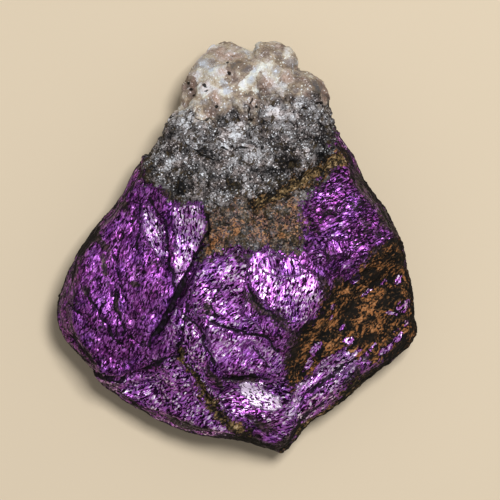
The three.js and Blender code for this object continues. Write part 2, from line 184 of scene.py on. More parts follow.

# Ovals where the painted sheen is brighter or duller than in the rest of their area: middle,
# half length, half width, turn in degrees and change of painted brightness.
PAINTED_SHEEN_PATCHES = [
    (-12, 2.6, 4.6, 1.5, -76, 0.14), (-16.2, 4.6, 1.2, 0.7, 60, 0.22),
    (-11.4, -9.4, 4.4, 1.7, 62, 0.12), (-14.6, -1.6, 2.6, 1.6, 70, 0.12),
    (-20.2, -2.6, 2.4, 1.2, 60, 0.1), (-22, -11.2, 2.4, 1.5, 50, 0.1),
    (-19, -9.6, 2, 1.2, -60, -0.14), (-17.6, -13.4, 3, 1, 40, -0.1),
    (-19.6, 3.2, 3, 1.2, 60, -0.16), (-1.9, -4.9, 2, 1.4, 20, 0.34),
    (0.2, -10.2, 2.8, 0.9, -10, 0.2), (-4.4, -2.6, 1.4, 0.8, 40, -0.1),
    (0.9, -5.6, 2.4, 0.8, 80, -0.3), (9.4, -6.6, 2.2, 1.6, 40, 0.22), (5.2, -5, 2.2, 1.4, 30, 0.14),
    (5.4, -2, 2.6, 0.9, 0, -0.24), (-1.6, -13.4, 2.4, 1.2, 50, 0.1),
    (4.4, -14.4, 1.8, 1.1, 60, 0.16), (0.6, -14.6, 2.4, 1, 10, -0.08),
    (-1.4, -16.6, 3, 0.8, -8, -0.3), (-6.6, -11.6, 1.6, 1, 70, 0.22),
    (-5.4, -14.6, 1.6, 0.8, -50, 0.2), (-5.6, -12.9, 1, 0.5, 20, -0.4),
    (-2.8, -18.2, 2.4, 1.2, -50, -0.4), (-8.4, -17.6, 2.2, 1.2, 30, 0.16),
    (-5.6, -21.6, 1.8, 1, -40, 0.2), (-9.6, -20.8, 2, 1, 0, 0.16),
    (-11.6, -23.2, 4, 1.2, -14, -0.24), (-0.4, -20.9, 0.9, 0.6, 0, 0.5),
    (0.2, -22.4, 0.8, 0.4, 0, 0.4), (6.6, -23.6, 1.7, 0.9, 60, 0.5),
    (5.4, -19.3, 1.6, 0.6, -20, 0.22), (8.6, -19.6, 1.2, 0.5, 60, 0.5),
    (10.4, 6.2, 1.9, 0.9, -70, 0.24), (13, 0.6, 3.6, 2.2, 20, 0.2), (11.4, -0.6, 1, 0.7, 0, 0.2),
    (14.6, -2.6, 1.5, 0.5, 30, 0.36), (14.6, 5.6, 2.6, 1, -60, 0.1),
    (17.8, 4.4, 3.4, 1.2, -66, -0.24), (20.1, 2.8, 1.3, 0.6, -70, 0.14),
    (18.9, 4.9, 0.5, 0.3, 60, 0.4), (19.1, 3.1, 0.5, 0.2, 30, 0.5), (10, -2.8, 1.6, 0.8, -40, -0.2),
    (14.9, 14, 1.4, 0.5, -60, 0.24), (15.8, -17, 1.4, 0.5, 42, 0.5), (14, -18.4, 1.4, 0.6, 50, 0.3),
    (-8.2, 3.4, 1.6, 0.9, 60, 0.12), (-10.4, 7, 1, 0.6, 60, 0.1),
]

# Ovals of long straight striations: middle, half length, half width, turn and way of the lines in
# degrees.
RULED_PATCHES = [
    (13, 3, 4, 2, 10, 25), (14.4, -2.2, 3, 1.4, 28, 32), (13.6, 0, 2.2, 1.1, 20, 104),
    (10.6, -19, 3.8, 1.1, 45, 48), (6, -2.6, 3.4, 1.5, -10, 98),
    (-9.6, -13, 3, 1, 68, 72), (-7.4, -6.6, 1.6, 0.6, 64, 64), (3.4, -26, 3.4, 1, -20, -16),
    (-14, -22.6, 4, 1.2, -24, -24), (14.8, -7.4, 2.2, 0.8, 34, 34), (1.6, -14, 1.6, 1, 60, 58),
]

# Veins: path, half width and depth of the groove.
VEINS = [
    ([(-4.2, 4.6), (-3.8, 2.4), (-4.6, 0.6), (-5.7, -0.9), (-5.9, -2.1), (-7, -4.2), (-8, -6),
      (-9.2, -8.4), (-10.1, -10.3), (-11.3, -12), (-12.2, -13.6)], 0.27, 0.45),
    ([(-20.4, -17.2), (-18.3, -18.1), (-16.3, -18.2), (-14.1, -17.6), (-11.1, -16.1),
      (-9.4, -15.4), (-8.2, -14.9)], 0.2, 0.4),
    ([(-8.2, -14.9), (-8.2, -13.9), (-7.8, -12.2), (-7.3, -9.9), (-6.6, -7.6)], 0.16, 0.3),
    ([(-12.3, 6.6), (-11.4, 5.2), (-10.3, 3.7), (-9.7, 0.8), (-9.7, -2), (-8.6, -3.5),
      (-8.6, -5.7)], 0.16, 0.3),
    ([(-3.6, -10.1), (-2.5, -10.6), (-1.2, -11.5), (0.3, -11.6), (1.9, -11.7), (3.3, -11.5),
      (4.3, -12.5), (5.6, -14.2)], 0.17, 0.35),
    ([(-7, -9.8), (-5.2, -11), (-4.6, -11.9), (-4.3, -13.5), (-3.4, -16)], 0.15, 0.25),
    ([(-2.1, -17.4), (-0.8, -17.9), (1.3, -17.9), (3.2, -18.2), (4.7, -18.3)], 0.16, 0.3),
    ([(21.6, -0.8), (17.9, -3), (13.7, -6.3), (11.6, -8.6)], 0.22, 0.35),
    ([(9.4, -20.6), (11.3, -18.9), (13.6, -17.3), (16.3, -15.7)], 0.15, 0.3),
    ([(1.6, -5.2), (1.9, -6.6), (3.2, -7.9), (5.4, -9.3)], 0.14, 0.2),
    ([(1.8, 20.2), (1.7, 17.8), (1.5, 14.6)], 0.16, 0.35),
    ([(8.8, 19), (10.6, 20), (12.6, 19.6)], 0.16, 0.3),
    ([(-6.4, 18.6), (-5.2, 17.7), (-3.4, 17.4), (-2.4, 16.6)], 0.14, 0.25),
    ([(8.3, -12), (9.6, -10.4), (11.6, -8.8)], 0.3, 0.2),
]

# Paths of the hairline cracks, of straight lines where the foil's painted sheen is brighter, and
# of the olive seam.
FINE_CRACKS = [
    [(-23.9, -7.4), (-20.5, -10.2), (-22.2, -12.6)], [(-16.7, -5.2), (-16.9, -7.4), (-16.2, -9.8)],
    [(-20.8, -6.2), (-17.8, -11), (-15.6, -14)], [(-15.8, 2.6), (-16.8, -2.2), (-15.4, -7.6)],
    [(-13.8, 7.4), (-13.4, 3), (-14, -1)], [(-1.6, -4.4), (-3.4, -7.4), (-3, -9.6)],
    [(2.6, -13.4), (3, -15.2), (4.2, -16.6)], [(-16.2, -9.8), (-14.8, -12.4), (-13.2, -13.6)],
    [(-6, 13.6), (-4.6, 12.4), (-2.4, 11.8)], [(1.4, 13.6), (-0.8, 13), (-2.4, 13.9)],
    [(-23.4, -12.4), (-21.2, -14.6), (-18.6, -15.4)],
]
SLAB_LINES = [
    [(11.4, 0.7), (14, 1.8), (16.4, 2.5)], [(11.8, 2.3), (13.2, 3.1), (14.8, 3.9)],
    [(11.5, 1.9), (13, 2.7), (14.6, 3.5)], [(11.3, 1.5), (12.8, 2.3), (14.4, 3)],
    [(13.2, 0.7), (14.8, 1.6)], [(12.6, 0.6), (12.9, -1)], [(13.2, 0.8), (13.5, -0.9)],
    [(13.8, 1), (14, -0.7)], [(14.3, 1.2), (14.6, 0)], [(13.2, -2.7), (15.6, -1.3)],
    [(13.9, -2), (15.8, -0.8)], [(12.6, -3.4), (14.6, -2.4)], [(14.6, -3), (16.4, -1.8)],
    [(4, -3.6), (6.6, -2.4)], [(3.2, -5.8), (5.6, -4.8)], [(8.6, -8), (11, -6.4)],
]
OLIVE_SEAM = [
    (-8, -14.2), (-7.1, -15.8), (-5.2, -18.9), (-3.4, -21.6), (-2.3, -23.6), (-0.7, -24.9),
    (1.6, -26.2),
]

# Ovals of black stain, of rust and of purple in the brown face: middle, half length, half width
# and turn in degrees.
BLACK_PATCHES = [
    (-18.3, -2.8, 1.9, 0.6, -80), (-18.8, 0.8, 2.6, 0.7, -58), (-20.9, -6, 0.8, 0.7, 0),
    (-15.6, 5.4, 1.4, 0.6, -60), (-13.6, -4.9, 0.7, 0.5, 0), (-16.5, -8, 2, 0.4, -80),
    (-21.4, 0.4, 2.2, 0.7, 60), (-12.6, 9.6, 2.4, 0.9, -50), (-8.8, 7.2, 3.2, 0.7, -14),
    (13.9, -4.8, 1, 0.8, 40), (15.5, -8.7, 2.1, 1.3, 60), (18.9, -3.6, 2.4, 1, 12),
    (20.4, -7.5, 1.1, 0.8, 0), (17.8, -12.9, 2.5, 0.8, 20), (22.9, -14.2, 3.8, 1.3, 42),
    (24.9, -10.6, 2.6, 0.8, 90), (18, -15.4, 1.8, 0.8, 20), (15.7, -18.1, 2.2, 0.6, 46),
    (7.6, -12.6, 2.2, 0.8, 80), (7.2, -15.6, 1.8, 0.8, 84), (3.3, -8.7, 1.2, 0.7, -20),
    (-4, -8.5, 1.5, 0.8, 70), (5, 9, 3, 1.1, 25), (0.3, 7.8, 2.4, 0.9, 0), (-3.4, 5.2, 1.1, 0.9, 0),
    (22.3, 1.8, 3.2, 1, -62), (17.2, 9.2, 2, 1, -55), (19.6, -0.4, 2.2, 0.7, 30),
    (2, -27, 4.6, 1.1, -22), (6.2, -27.8, 2.4, 1.1, 40), (-7, -24.8, 3.8, 0.8, -18),
    (-3, -17.8, 2.6, 0.5, -60), (0.4, -18.1, 3, 0.6, -6), (2.6, -7.6, 2.4, 0.9, -44),
    (5.8, -9.9, 2.6, 1.2, -42), (7.8, -13, 2.8, 1, -80), (11.8, -5.4, 1.8, 0.9, -50),
    (20.8, 3.8, 3, 1.3, -60), (18.6, 7.4, 2.6, 0.9, -56), (3.2, -24.6, 3, 0.8, -30),
    (-12.4, 12.2, 1.8, 0.8, 60), (-8.2, 10.4, 2.6, 0.8, -20), (7.9, 11.4, 2.4, 0.9, 30),
    (-1.7, 16.5, 0.9, 0.5, -20), (4.9, 17.7, 0.5, 0.4, 0), (0.2, -1.2, 1.5, 0.6, -20),
]
RUST_PATCHES = [
    (-3.4, 0.1, 1.5, 0.6, 58), (-0.2, 2.1, 0.9, 0.5, 50), (18.2, -8.2, 2, 1.2, 70),
    (18.9, -11, 1.7, 1.3, 30), (16.8, -10, 1.1, 0.7, 30), (16.1, -14, 1.6, 0.6, 30),
    (14.6, -6.4, 1.3, 0.45, 25), (19.8, -6, 1, 0.5, 70), (23.1, -6.3, 0.8, 0.5, 0),
    (10.9, -10.6, 1.5, 0.8, 60), (13, -10.5, 1.1, 0.7, 40), (12.8, -13.4, 1, 0.5, 30),
    (5.9, 1.6, 0.7, 0.5, 0), (19, -15.4, 1.2, 0.5, 50), (4.4, 7, 1.8, 0.6, 25),
    (9.6, 9.6, 2.6, 0.6, 33), (-3.6, -24, 2.2, 0.7, -15), (13.4, 13.4, 1.4, 0.9, 50),
    (7.4, 22.8, 0.5, 0.3, -20),
]
PURPLE_PATCHES = [
    (16.3, -4.3, 1.2, 0.45, 50), (22.5, -4.4, 1.1, 0.6, 60), (20.2, -4.8, 0.9, 0.3, 30),
    (17.7, -6.4, 1.1, 0.4, 30), (13.1, -8.1, 0.8, 0.4, 60), (12.9, -9.5, 0.6, 0.3, 45),
    (23.1, -8.2, 1.5, 1.1, 70), (21.4, -9.3, 1, 0.45, -20), (14.6, -11.4, 0.9, 0.35, 70),
    (15.3, -12.9, 0.9, 0.45, 35), (23.6, -10.9, 0.7, 0.4, 50), (22, -12.5, 1.2, 0.8, 60),
    (20.7, -14.1, 1.5, 0.65, 45), (18.8, -13.8, 0.9, 0.35, 60), (17, -14.2, 0.7, 0.35, 45),
    (17.9, -15, 0.7, 0.45, 60), (16.2, -14.9, 0.8, 0.35, 30), (17.3, -16, 0.9, 0.5, 50),
    (10.8, -14, 1.6, 0.5, 64), (9.6, -16.2, 1.8, 0.5, 58), (12, -16.4, 2, 0.8, 50),
    (13.8, -15.2, 1.1, 0.45, 70), (23.6, 0, 1.3, 0.5, 70), (23.7, -2.4, 1.2, 0.6, 80),
    (-2.4, -25.8, 2.6, 0.6, -10), (14.9, 14, 1.5, 0.5, -60),
]

# Ovals of quartz that is lighter or darker than the rest: as above, and the change of tone.
QUARTZ_PATCHES = [
    (5.2, 18.6, 1.9, 1.2, -20, 0.5), (-8.9, 11.6, 1.8, 1, 40, 0.4),
    (-6.2, 14.8, 3.2, 1.6, 10, 0.14), (-1, 14.4, 2.4, 1.4, -60, 0.2),
    (-3, 10.6, 2.6, 1.2, -10, 0.1), (2.6, 12.6, 1.6, 1.2, 60, 0.16),
    (10.6, 15.6, 3.4, 1.6, 10, -0.3), (7.4, 13.4, 3, 1.4, 26, -0.3),
    (6.2, 11.2, 3.6, 1.2, 28, -0.3), (-11.8, 9.8, 2, 1.4, 50, -0.3),
    (-7.4, 8.6, 3.2, 1.2, -16, -0.36), (-1.4, 8.6, 3, 1, 0, -0.36), (12.6, 13, 2, 1.2, 60, -0.3),
    (-2.2, 17, 1.3, 0.8, 20, -0.1), (-8.6, 16.2, 1.6, 1, 60, -0.2), (6.9, 27.1, 1.1, 0.7, 50, 0.4),
    (-1.7, 21.3, 1, 0.8, 0, 0.45), (0.6, 22.6, 0.9, 0.7, 60, 0.3), (3.4, 24.9, 1.6, 0.5, 20, 0.3),
    (-3.4, 26, 1.6, 1.4, 60, -0.1), (7.4, 23.6, 2.8, 1.8, -30, -0.16),
    (11.4, 21.8, 2.2, 1.4, -60, -0.26), (1.6, 21.6, 2.2, 0.5, 56, -0.24),
    (-4.6, 21.6, 1.2, 0.8, 60, 0.14), (-0.6, 19.8, 1.8, 0.8, 20, 0.2),
    (-5.4, 20.8, 1.3, 0.6, -50, -0.16), (-6, 17.2, 3, 1.4, 10, 0.28),
    (0.4, 16.2, 2.8, 1.6, 60, 0.3), (6.4, 18.8, 3.4, 1.6, -14, 0.16),
    (10.8, 18.6, 2.4, 1.4, -40, 0.14),
]

# Middles of single black grains in the quartz.
DARK_GRAINS = [
    (-4.3, 21.5), (-4.4, 22.2), (-6.3, 21.9), (-5.9, 21), (-1.3, 25.4), (-2.9, 19.4), (-1.2, 23.9),
    (2.6, 19.3), (-3.6, 28), (-6.7, 22.8), (-0.7, 13.8), (3.4, 13.6),
]

# The colours of the stone and the floor: what each is for, and its linear red, green and blue.
COLOURS = {
    "foil_shadow": ("Darkest purple, between the glints", (0.009, 0.003, 0.011)),
    "foil_deep": ("Deep purple", (0.055, 0.012, 0.064)),
    "foil_violet": ("Main purple", (0.21, 0.04, 0.25)),
    # The lilac and white of the foil colour its painted sheen and its painted glints.
    "foil_lilac": ("Bright foil", (0.6, 0.2, 0.76)),
    "foil_white": ("Brightest glints", (0.95, 0.8, 1)),
    # A dark film that is partly grime and partly painted shade.
    "grime": ("Dark film between the glints", (0.013, 0.009, 0.008)),
    "quartz_dark": ("Dark seams in the quartz", (0.007, 0.0065, 0.007)),
    "quartz_grey": ("Grey quartz", (0.1, 0.093, 0.094)),
    "quartz_light": ("Light grey quartz", (0.26, 0.245, 0.25)),
    # The white also colours the painted sparkles in the quartz.
    "quartz_white": ("White grains", (0.72, 0.75, 0.8)),
    "quartz_stain": ("Brownish stain in the grey quartz", (0.95, 0.72, 0.62)),
    "hue_indigo": ("Bluer parts of the foil", (0.72, 0.8, 1)),
    "hue_rose": ("Redder parts of the foil", (1, 0.86, 0.84)),
    "hue_pink": ("Pinkish parts of the pale quartz", (1, 0.86, 0.8)),
    "hue_yellow": ("Yellowish parts of the pale quartz", (1, 0.98, 0.8)),
    "hue_blue": ("Bluish parts of the pale quartz", (0.78, 0.86, 0.95)),
    "pale_shade": ("Darker part of the pale quartz", (0.2, 0.15, 0.125)),
    "pale_quartz": ("Pinkish pale quartz", (0.44, 0.375, 0.33)),
    "crust_black": ("Black coating", (0.005, 0.0045, 0.004)),
    "smudge": ("Olive black stains", (0.009, 0.0075, 0.006)),
    "dark_brown": ("Dark crust", (0.028, 0.018, 0.01)),
    "brown": ("Brown crust", (0.09, 0.046, 0.02)),
    "rust": ("Orange rust", (0.26, 0.1, 0.032)),
    "pale_rust": ("Lightest rust", (0.4, 0.2, 0.09)),
    "olive": ("Olive brown crust", (0.08, 0.054, 0.022)),
    "ochre": ("Ochre crust", (0.2, 0.125, 0.055)),
    "pale_ochre": ("Lightest ochre", (0.45, 0.34, 0.2)),
    "ruddy_dark": ("Shade of the reddish stain", (0.048, 0.028, 0.028)),
    "ruddy": ("Reddish stain", (0.175, 0.09, 0.082)),
    "floor": ("Pale floor", (0.62, 0.52, 0.38)),
}

# Borders of the areas, in millimetres: how far they wander, how soft they are, and the depth inside
# an area from which on nothing changes.
BORDER_WANDER = 0.55
PATCH_WANDER = 0.4
BORDER_SOFTNESS = 0.3
DEPTH_LIMIT = 3

# Foil outside every purple area: its painted sheen and the way of its striations in degrees.
PLAIN_PAINTED_SHEEN = 0.32
PLAIN_WAY = 60

# How strongly ovals and lines change the foil's painted sheen, and the painted sheen of the brown
# face's purple itself.
PATCH_STRENGTH = 0.5
LINE_STRENGTH = 0.2
PURPLE_PAINTED_SHEEN = 0.68

# Half widths of strokes, size of the single grains and the fine cracks' grooves, in millimetres.
FINE_CRACK_WIDTH = 0.13
SLAB_LINE_WIDTH = 0.12
DARK_GRAIN_SIZE = 0.2
GROOVE_WIDTH = 0.2
GROOVE_DEPTH = 0.15

# Ways of the streaks in degrees: purple ones on the brown face, and three of the crust.
PURPLE_STREAKS = 46
CRUST_STREAKS = 38
CRUST_MOTTLE = 42
CRUST_BORDER = 44

# Shifts that keep the noise patterns apart, each times a pattern's own number.
FRACTAL_SHIFT = Vector((17.3, 5.1, 9.7))
RIDGED_SHIFT = Vector((7.7, 15.1, 3.9))
CELL_SHIFT = Vector((3.1, 8.3, 1.7))
CELL_SPREAD = 37


def clamp(values, low=0.0, high=1.0):
    return np.clip(values, low, high)


def soft_step(values, low, high):
    """0 up to the low value, 1 from the high one on and smooth between."""
    share = clamp((values - low) / (high - low))
    return share * share * (3 - 2 * share)


def turned(plan, degrees):
    """Plan points in axes turned by an angle: along it, and to its left."""
    c, s = math.cos(math.radians(degrees)), math.sin(math.radians(degrees))
    return np.stack([plan[:, 0] * c + plan[:, 1] * s, plan[:, 1] * c - plan[:, 0] * s], axis=1)


def path_distance(path, plan):
    """How far each plan point lies from a path."""
    start, end = np.array(path[:-1], float), np.array(path[1:], float)
    edge = end - start
    away = plan[:, None] - start
    share = clamp((away * edge).sum(-1) / (edge ** 2).sum(-1))
    return np.linalg.norm(away - share[..., None] * edge, axis=-1).min(axis=1)


def inside_depth(outline, plan):
    """How far each plan point lies inside an outline, within the limit; negative outside."""
    start = np.array(outline, float)
    end = np.roll(start, -1, axis=0)
    distance = path_distance([*outline, outline[0]], plan)
    x, y = plan[:, :1], plan[:, 1:]
    spans = (start[:, 1] > y) != (end[:, 1] > y)
    rise = np.where(end[:, 1] == start[:, 1], 1, end[:, 1] - start[:, 1])
    crossing = x < start[:, 0] + (end[:, 0] - start[:, 0]) * (y - start[:, 1]) / rise
    sign = np.where((spans & crossing).sum(axis=1) % 2 == 1, 1, -1)
    return clamp(sign * distance, -DEPTH_LIMIT, DEPTH_LIMIT)


def inside(depth):
    """1 in an area and 0 outside it, soft at its border."""
    return soft_step(depth, -BORDER_SOFTNESS, BORDER_SOFTNESS)


def patch(plan, x, y, half_length, half_width, turn):
    """1 about the middle of an oval patch, and 0 from its border on."""
    u, v = turned(plan - (x, y), turn).T
    return clamp(1.1 * (1 - (u / half_length) ** 2 - (v / half_width) ** 2))


def patches(plan, group):
    """The strongest of a group of oval patches."""
    return np.max([patch(plan, *oval) for oval in group], axis=0)


def stroke(path, plan, half_width):
    """1 on a thin line and 0 beside it."""
    return clamp(1.5 - path_distance(path, plan) / half_width)


def strokes(paths, plan, half_width):
    return np.max([stroke(path, plan, half_width) for path in paths], axis=0)


def fractal(points, wavelength, octaves, seed, shift=FRACTAL_SHIFT):
    """Fractal noise at each point, about -1 to 1."""
    shift = shift * (seed + 1)
    return np.array([noise.fractal(Vector(p) / wavelength + shift, 1, 2, octaves) for p in points])


def ridged(points, wavelength, octaves, seed):
    """Noise with sharp ridges, about -1 to 1."""
    return 1 - 2 * np.abs(fractal(points, wavelength, octaves, seed, RIDGED_SHIFT))


def broken(points, spacing, seed):
    """Broken faces: each cell's tilted plane, about -1 to 1, and how near its border is, 0 to 1."""
    shift = CELL_SHIFT * (seed + 1)
    planes, borders = [], []
    for point in points:
        place = Vector(point) / spacing + shift
        distances, middles = noise.voronoi(place)
        tilt = noise.cell_vector(middles[0] * CELL_SPREAD) - Vector((0.5, 0.5, 0.5))
        planes.append(2 * tilt.dot(place - middles[0]) + 0.6 * tilt.x)
        borders.append(1 - min(1, (distances[1] - distances[0]) * 4))
    return np.array(planes), np.array(borders)


def streaked(points, turn, amounts):
    """Points turned in plan, then scaled: less along the turn draws a pattern out that way."""
    return np.column_stack([turned(points[:, :2], turn) * amounts, points[:, 2]])


def select_only(piece):
    bpy.ops.object.select_all(action="DESELECT")
    piece.select_set(True)
    bpy.context.view_layer.objects.active = piece


def add_modifier(piece, kind, name, **settings):
    """Adds a modifier with its settings and applies it."""
    select_only(piece)
    modifier = piece.modifiers.new(name, kind)
    for key, value in settings.items():
        setattr(modifier, key, value)
    bpy.ops.object.modifier_apply(modifier=name)


def vectors(source, key):
    """A mesh's vectors, one for each vertex, in an array."""
    values = np.empty(len(source) * 3, np.float32)
    source.foreach_get(key, values)
    return values.reshape(-1, 3).astype(float)


def store(mesh, name, values):
    """Keeps a value or a vector for each vertex, for the material."""
    kind, key = ("FLOAT", "value") if values.ndim == 1 else ("FLOAT_VECTOR", "vector")
    kept = mesh.attributes.new(name, kind, "POINT")
    kept.data.foreach_set(key, values.astype(np.float32).ravel())


def foil_areas(points, plan, patch_plan, purple):
    """What the foil is like: its painted sheen, the strength of its painted glints, how near a
    border and which way it runs.
    """
    true_plan = points[:, :2]
    painted_sheen, sparkle = np.full(len(points), PLAIN_PAINTED_SHEEN), np.ones(len(points))
    rim, ruled = np.zeros(len(points)), np.zeros(len(points))
    way = streaked(points, PLAIN_WAY, 1)
    for outline, brightness, contrast, turn in FOILS:
        inner = inside_depth(outline, plan)
        share = inside(inner)
        painted_sheen += share * (brightness - painted_sheen)
        sparkle += share * (contrast - sparkle)
        rim = np.maximum(rim, inner)
        within = inner > 0
        way[within, :2] = turned(true_plan[within], turn) + turn
    for *oval, turn in RULED_PATCHES:
        share = patch(patch_plan, *oval)
        ruled = np.maximum(ruled, share)
        within = share > 0.25
        way[within, :2] = turned(true_plan[within], turn) + turn
    for *oval, change in PAINTED_SHEEN_PATCHES:
        painted_sheen += PATCH_STRENGTH * change * patch(patch_plan, *oval)
    return {
        "painted_sheen": np.maximum(painted_sheen, PURPLE_PAINTED_SHEEN * purple), "sparkle": sparkle,
        "rim": np.maximum(rim, 1.5 * purple), "ruled": ruled, "foil_way": way,
    }


def crust_areas(points, plan, purple, blotch, under):
    """Depth inside the weathered crust, how ochre it is and how rusty."""
    # The seam widens towards the lower edge.
    seam_width = 0.55 + 0.35 * soft_step(-points[:, 1], 17, 22)
    seam = seam_width - path_distance(OLIVE_SEAM, plan)
    band, edge = inside_depth(OCHRE_BAND, plan), inside_depth(OLIVE_EDGE, plan)
    crust = np.maximum.reduce([inside_depth(BROWN_FACE, plan), edge, band + 0.3, seam])
    below = clamp(4 * blotch, -DEPTH_LIMIT, DEPTH_LIMIT)
    rust = np.maximum.reduce([
        patches(plan, RUST_PATCHES), 0.75 * soft_step(band, -0.4, 0.4),
        0.25 * inside(seam)]) * (1 - under)
    rust_below = 0.7 * under * soft_step(fractal(points, 3, 3, 6), 0.15, 0.5)
    return {
        "crust": np.where(under > 0.5, below, crust) - 4 * purple,
        "ochre": soft_step(np.maximum.reduce([band, seam, edge]), -0.6, 0.4),
        "rust": np.maximum(rust, rust_below),
    }


def dark_areas(points, normals, plan, uneven, quartz, under):
    """How black each vertex is with veins, cracks and grains, or with painted shade on the steep
    walls.
    """
    veins = np.max([stroke(path, plan, width) for path, width, _ in VEINS], axis=0)
    veins *= 1 - 0.4 * soft_step(quartz, 0.5, 2)
    grains = np.max([
        clamp(1.6 - np.hypot(*(points[:, :2] - spot).T) / DARK_GRAIN_SIZE)
        for spot in DARK_GRAINS], axis=0)
    cracks = 0.75 * strokes(FINE_CRACKS, plan, FINE_CRACK_WIDTH)
    black = np.maximum.reduce([veins, cracks, grains]) * (1 - under)
    # Painted shade blackens the steep sides in blotches, more so low down, but neither quartz nor
    # the walls of the veins.
    shade_reach = uneven + 0.2 + 0.5 * soft_step(-points[:, 2], -13, -9)
    wall = soft_step(1 - normals[:, 2], 0.4, 0.85)
    side = wall * soft_step(shade_reach, -0.5, 0.3) * soft_step(-quartz, -0.5, 0.5)
    off_veins = np.min([path_distance(path, plan) for path, *_ in VEINS], axis=0)
    side *= soft_step(off_veins, 0.6, 1.4)
    return np.maximum(black, 0.8 * side)


def areas(points, normals):
    """What each vertex is made of. Depths are millimetres inside an area, negative outside it."""
    true_plan = points[:, :2]
    wander = np.stack([fractal(points, 2.6, 4, seed) for seed in (1, 2)], axis=1)
    plan = true_plan + BORDER_WANDER * wander
    patch_plan = true_plan + PATCH_WANDER * wander
    under = soft_step(-normals[:, 2], 0, 0.35)
    steep = soft_step(1 - normals[:, 2], 0.25, 0.7)
    quartz = inside_depth(MATRIX, plan)
    blotch = fractal(points, 5, 4, 5)
    streaks = fractal(streaked(points, PURPLE_STREAKS, (0.35, 1)), 0.8, 3, 8)
    purple = patches(plan, PURPLE_PATCHES) * (1 + 1.1 * streaks)
    purple = soft_step(purple, 0.15, 0.5) * (1 - under)
    fainter = 1 - 0.4 * soft_step(quartz, -0.3, 1)
    made_of = {
        "quartz": quartz,
        "pale": inside_depth(PALE_QUARTZ, plan),
        "ruddy": inside_depth(RED_BROWN, plan),
        "tone": sum(change * patch(patch_plan, *oval) for *oval, change in QUARTZ_PATCHES),
        "smudge": patches(plan, BLACK_PATCHES) * fainter * (1 - under),
        "black": dark_areas(points, normals, plan, blotch + 0.3 * wander[:, 0], quartz, under),
        **crust_areas(points, plan, purple, blotch, under),
        **foil_areas(points, plan, patch_plan, purple),
    }
    lines = strokes(SLAB_LINES, true_plan, SLAB_LINE_WIDTH)
    # The painted sheen is weaker on steep faces, and brighter along the slab lines.
    made_of["painted_sheen"] = made_of["painted_sheen"] * (1 - 0.35 * steep) + LINE_STRENGTH * lines
    return made_of


def carve(points, normals, made_of, sizes):
    """How far each vertex moves out, in millimetres, and how it stands out, -1 to 1, which the
    finishes paint in as light and shade.
    """
    plan = points[:, :2]
    under = soft_step(-normals[:, 2], 0, 0.35)
    quartz = inside(made_of["quartz"])
    smooth = soft_step(made_of["pale"], -0.6, 1) * quartz
    crust = inside(made_of["crust"]) * (1 - quartz)
    purple = (1 - quartz) * (1 - crust)

    foil = made_of["foil_way"] * (0.35, 1, 1)
    crumple = 0.6 * ridged(foil, 1.3, 3, 1) + 0.5 * fractal(foil, 3.2, 3, 2)
    plates, seams = broken(foil, 2.4, 3)
    foil_part = clamp(0.4 + 0.6 * made_of["sparkle"]) * (crumple + 0.5 * plates - 0.4 * seams)

    grain, grain_seams = broken(points, 2.3, 4)
    small, small_seams = broken(points, 1.05, 5)
    quartz_part = grain - 0.8 * grain_seams * (1 - 0.5 * smooth)
    quartz_part += (1 - 0.7 * smooth) * (0.45 * small - 0.45 * small_seams)

    streaks = ridged(streaked(points, CRUST_STREAKS, (0.25, 1)), 0.9, 3, 7)
    crust_part = 0.7 * fractal(points, 1.1, 4, 6) + 0.8 * streaks

    relief = purple * foil_part + quartz * quartz_part + crust * crust_part
    moved = purple * foil_part * sizes.foil_depth / MM
    moved += quartz * (1 - 0.35 * smooth) * quartz_part * sizes.grain_depth / MM
    moved += quartz * sizes.quartz_swell / MM
    moved += crust * crust_part * sizes.crumb_depth / MM
    for path, width, depth in VEINS:
        groove = np.exp(-(path_distance(path, plan) / (1.1 * width)) ** 2)
        moved -= depth * groove * (1 - under)
    moved -= GROOVE_DEPTH * strokes(FINE_CRACKS, plan, GROOVE_WIDTH) * (1 - under)
    return moved, clamp(relief, -1, 1)


